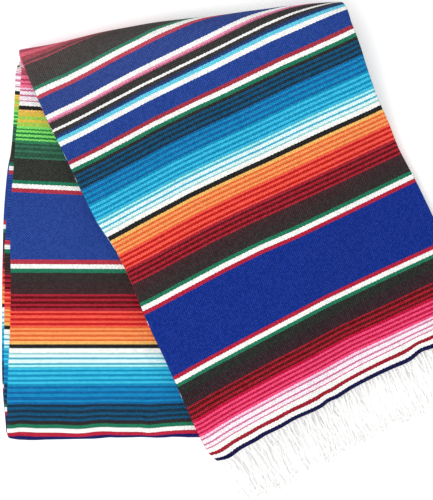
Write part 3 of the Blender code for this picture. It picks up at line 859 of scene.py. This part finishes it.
def hidden_layers(material):
    """The six hidden layers in one body that follows the front, the roll and the back."""
    across = np.concatenate([[0.0, 0.012], np.linspace(0.06, 0.94, 15), [0.988, 1.0]])
    inset = WALL + GAP
    sag = 0.9
    rings, lengths = [], []
    for share in np.linspace(0.0, 1.0, 90)[:-1]:
        low, high = front_heights(across, share)
        place = front_plan(across, share)
        outer = flat_points(place, np.maximum(high - inset - sag, low))
        inner = flat_points(place, np.maximum(high - STACK, low))
        rings.append(layered_ring(outer, inner, front_shift, front_shift))
        lengths.append(front_length(rings[-1]))
    base = lengths[-1]
    for turn in np.linspace(0.0, 1.0, 26):
        place, outward, radius = roll_plan(across, turn)
        angle = math.pi * turn
        normal = flat_points(outward * math.sin(angle), math.cos(angle))
        outer = flat_points(place, radius) + normal * (radius - inset - sag)[:, None]
        high = 2.0 * radius - STACK
        middle, reach = (high + SLIT_LOW) / 2, (high - SLIT_LOW) / 2
        inner = flat_points(place, middle) + normal * reach[:, None]
        rings.append(layered_ring(outer, inner, front_shift, front_shift))
        lengths.append(base + math.pi * 17.0 * turn)
    for share in np.linspace(0.02, 1.0, 110):
        outer = flat_points(back_plan(across, share), inset)
        inner = flat_points(back_plan(across, share, "top"), SLIT_LOW - sag)

        def back_shift(edge, depth):
            return blend(outer[0], inner[0], depth)[0] - edge_value(edge, outer[0][1])

        rings.append(layered_ring(outer, inner, back_shift, front_shift))
        lengths.append(back_length(rings[-1]))
    rings, lengths = np.array(rings), np.array(lengths)
    count = rings.shape[1]
    row, place = np.meshgrid(np.arange(len(rings) - 1), np.arange(count), indexing="ij")
    row, place = row.ravel(), place.ravel()
    following = (place + 1) % count
    corner_rows = np.stack([row, row + 1, row + 1, row], axis=-1)
    corner_places = np.stack([place, place, following, following], axis=-1)
    faces = corner_rows * count + corner_places
    ledge = len(LEDGES)
    plain = [("floor", 1)] * (len(across) - 2)
    marks = [(edge, layer) for _, _, edge, layer in LEDGES]
    marks = marks[-2::-1] + marks[:1] + plain + marks + [("top", 6)] * (len(across) - 2)
    seen = seen_at(rings)[..., 1]
    shifts = np.zeros((len(rings), count))
    for index, (edge, layer) in enumerate(marks):
        extra = 0.0 if edge != "floor" else 6.0 * layer
        shifts[:, index] = layer_shift(edge, seen[:, index]) * BACK_UNIT + extra
    own = lengths[corner_rows, corner_places] + shifts[corner_rows, place[:, None]]
    u = np.broadcast_to((corner_places % 60) * 1.3, own.shape)
    uv = np.stack([u, mirrored(own)], axis=-1)
    quads = add_piece("hidden_layers", rings.reshape(-1, 3), faces, material, ["folded_layers"], uv)
    close_ends(quads, count, len(rings))
    return quads


def close_ends(piece, count, rings):
    """Close the first and last ring of a loft."""
    body = bmesh.new()
    body.from_mesh(piece.data)
    body.verts.ensure_lookup_table()
    layer = body.loops.layers.uv["weave"]
    for base in (0, (rings - 1) * count):
        ring = [body.verts[base + index] for index in range(count)]
        cap = body.faces.new(ring)
        for corner in cap.loops:
            other = next(loop for loop in corner.vert.link_loops if loop.face != cap)
            corner[layer].uv = other[layer].uv
    bmesh.ops.recalc_face_normals(body, faces=body.faces)
    bmesh.ops.triangulate(body, faces=[face for face in body.faces if len(face.verts) > 4])
    body.to_mesh(piece.data)
    body.free()


# Fringe
TUFTS = 72
STRAND_LENGTH = 84.0
STRIP_WIDTH = 3.6
STRAND_SWAY = 2.6
YARN_RADIUS = 0.38
YARN_SIDES = 5
YARN_STEPS = 31
PLIES = 4
TWIST_PITCH = 17.0
CURL = 1.1
CURL_START = 0.62


def tube(path, radii, sides):
    """Rings of points round a path."""
    way = np.gradient(path, axis=0)
    way /= np.linalg.norm(way, axis=1, keepdims=True)
    side = np.cross(way, (0.0, 0.0, 1.0))
    side /= np.linalg.norm(side, axis=1, keepdims=True)
    up = np.cross(side, way)
    angles = np.arange(sides) * 2 * math.pi / sides
    ring = side[:, None] * np.cos(angles)[None, :, None] + up[:, None] * np.sin(angles)[None, :, None]
    return path[:, None] + ring * radii[:, None, None]


def fringe(material):
    """Loosely twisted white warp ends beside the hem, from its upper and lower layers."""
    rng = np.random.default_rng(11)
    points, faces = [], []
    total = 0
    steps = np.linspace(0.0, 1.0, YARN_STEPS)
    quads = []
    for step in range(YARN_STEPS - 1):
        for side in range(YARN_SIDES):
            following = (side + 1) % YARN_SIDES
            quads.append((step * YARN_SIDES + side, (step + 1) * YARN_SIDES + side,
                          (step + 1) * YARN_SIDES + following, step * YARN_SIDES + following))
    quads = np.array(quads)
    for tuft in range(TUFTS * 2):
        across = np.array((tuft + 0.5) / (TUFTS * 2))
        upper = tuft % 2
        base = float(front_heights(across, 0.0)[0])
        root_height = base + (9.5 if upper else 4.0) + rng.uniform(-1.5, 1.5)
        root = hem_place(across) + HEM_OUT * (GAP - 0.8)
        length = STRAND_LENGTH + STRIP_WIDTH
        length *= rng.uniform(0.89, 1.05)
        lean = rng.normal(0.0, 2.2)
        wave = rng.uniform(0.6, 2.4)
        phase = rng.uniform(0.0, 6.28)
        turns = rng.uniform(1.0, 2.3)
        fall = rng.uniform(30.0, 52.0) if upper else rng.uniform(14.0, 30.0)
        sway = STRAND_SWAY * (math.sin(9.0 * across) + 0.4 * math.sin(23.0 * across))
        sideways = (sway + lean) * np.sin(math.pi * steps * 0.6)
        sideways = sideways + wave * np.sin(phase + turns * 2 * math.pi * steps)
        sideways -= wave * math.sin(phase)
        plan = root + FRINGE_ALONG * (length * steps)[:, None] + HEM_ALONG * sideways[:, None]
        rest = 1.7 + rng.uniform(0.0, 1.4) + 0.9 * np.abs(np.sin(phase + steps * 7.0))
        height = blend(root_height, rest, smooth(length * steps / fall))
        spine = flat_points(plan, height)
        spread = 0.6 + 1.2 * smooth((steps - 0.6) / 0.4) * rng.uniform(0.3, 1.0)
        advance = length / (YARN_STEPS - 1)
        turn = 2 * math.pi * length * steps / TWIST_PITCH
        for ply in range(PLIES):
            angle = turn + 2 * math.pi * ply / PLIES + phase
            stray = rng.normal(0.0, 1.0) * smooth((steps - 0.35) / 0.65) ** 2 * 2.2
            kink = 0.5 * np.sin(rng.uniform(0.0, 6.28) + steps * rng.uniform(22.0, 40.0)) * smooth(steps * 3.0)
            bend = rng.normal(0.0, CURL)
            if abs(across - 0.5) > 0.45:
                bend = math.copysign(bend, 0.5 - across)
            heading = bend * smooth((steps - CURL_START) / (1.0 - CURL_START))
            aside = np.cos(angle) * spread + stray + kink + np.cumsum(np.sin(heading)) * advance
            short = np.cumsum(np.cos(heading) - 1.0) * advance
            offset = flat_points(
                HEM_ALONG * aside[:, None] + FRINGE_ALONG * short[:, None], 0.6 * np.sin(angle))
            radii = YARN_RADIUS * (1.0 - 0.45 * smooth((steps - 0.8) / 0.2))
            path = spine + offset
            path[:, 2] = np.maximum(path[:, 2], YARN_RADIUS + 0.15)
            body = tube(path, radii, YARN_SIDES).reshape(-1, 3)
            points.append(body)
            faces.append(quads + total)
            total += len(body)
    return add_piece("fringe_strands", np.concatenate(points), np.concatenate(faces), material,
                     ["fringe"])


def stage():
    """A plain pale floor with soft, even studio light."""
    bpy.ops.mesh.primitive_plane_add(size=8.0, location=(0.0, 0.0, -0.0004))
    floor = bpy.context.object
    floor.name = "floor"
    material = bpy.data.materials.new("floor_plain")
    nodes = Nodes(material)
    nodes.shader.inputs["Base Color"].default_value = (0.97, 0.97, 0.97, 1.0)
    nodes.shader.inputs["Emission Color"].default_value = (1.0, 1.0, 1.0, 1.0)
    nodes.shader.inputs["Emission Strength"].default_value = 0.08
    nodes.shader.inputs["Roughness"].default_value = 0.9
    nodes.shader.inputs["Specular IOR Level"].default_value = 0.1
    floor.data.materials.append(material)
    world = bpy.data.worlds.new("studio")
    world.use_nodes = True
    world.node_tree.nodes["Background"].inputs[0].default_value = (1.0, 1.0, 1.0, 1.0)
    world.node_tree.nodes["Background"].inputs[1].default_value = 0.92
    bpy.context.scene.world = world
    bpy.context.scene.view_settings.view_transform = "Standard"
    key = bpy.data.lights.new("key", "AREA")
    key.energy = 46.0
    key.size = 1.8
    lamp = bpy.data.objects.new("key", key)
    bpy.context.scene.collection.objects.link(lamp)
    lamp.location = (-0.9, -1.4, 2.2)
    aim = -lamp.location.normalized()
    lamp.rotation_euler = aim.to_track_quat("-Z", "Y").to_euler()


def camera():
    lens = SENSOR / (LEAST_SCALE * FRAME_HEIGHT)
    data = bpy.data.cameras.new("camera")
    data.sensor_width = SENSOR
    data.sensor_fit = "AUTO"
    data.lens = lens
    data.clip_start = 0.05
    seat = bpy.data.objects.new("camera", data)
    bpy.context.scene.collection.objects.link(seat)
    seat.location = tuple((np.array((0.0, 0.0, CAMERA_HEIGHT)) - MIDDLE) * MM)
    bpy.context.scene.camera = seat


cloth = cloth_material()
cotton = cotton_material()
front = front_cloth(cloth)
back = back_cloth(cloth)
layers = hidden_layers(cloth)
strands = fringe(cotton)
stage()
camera()
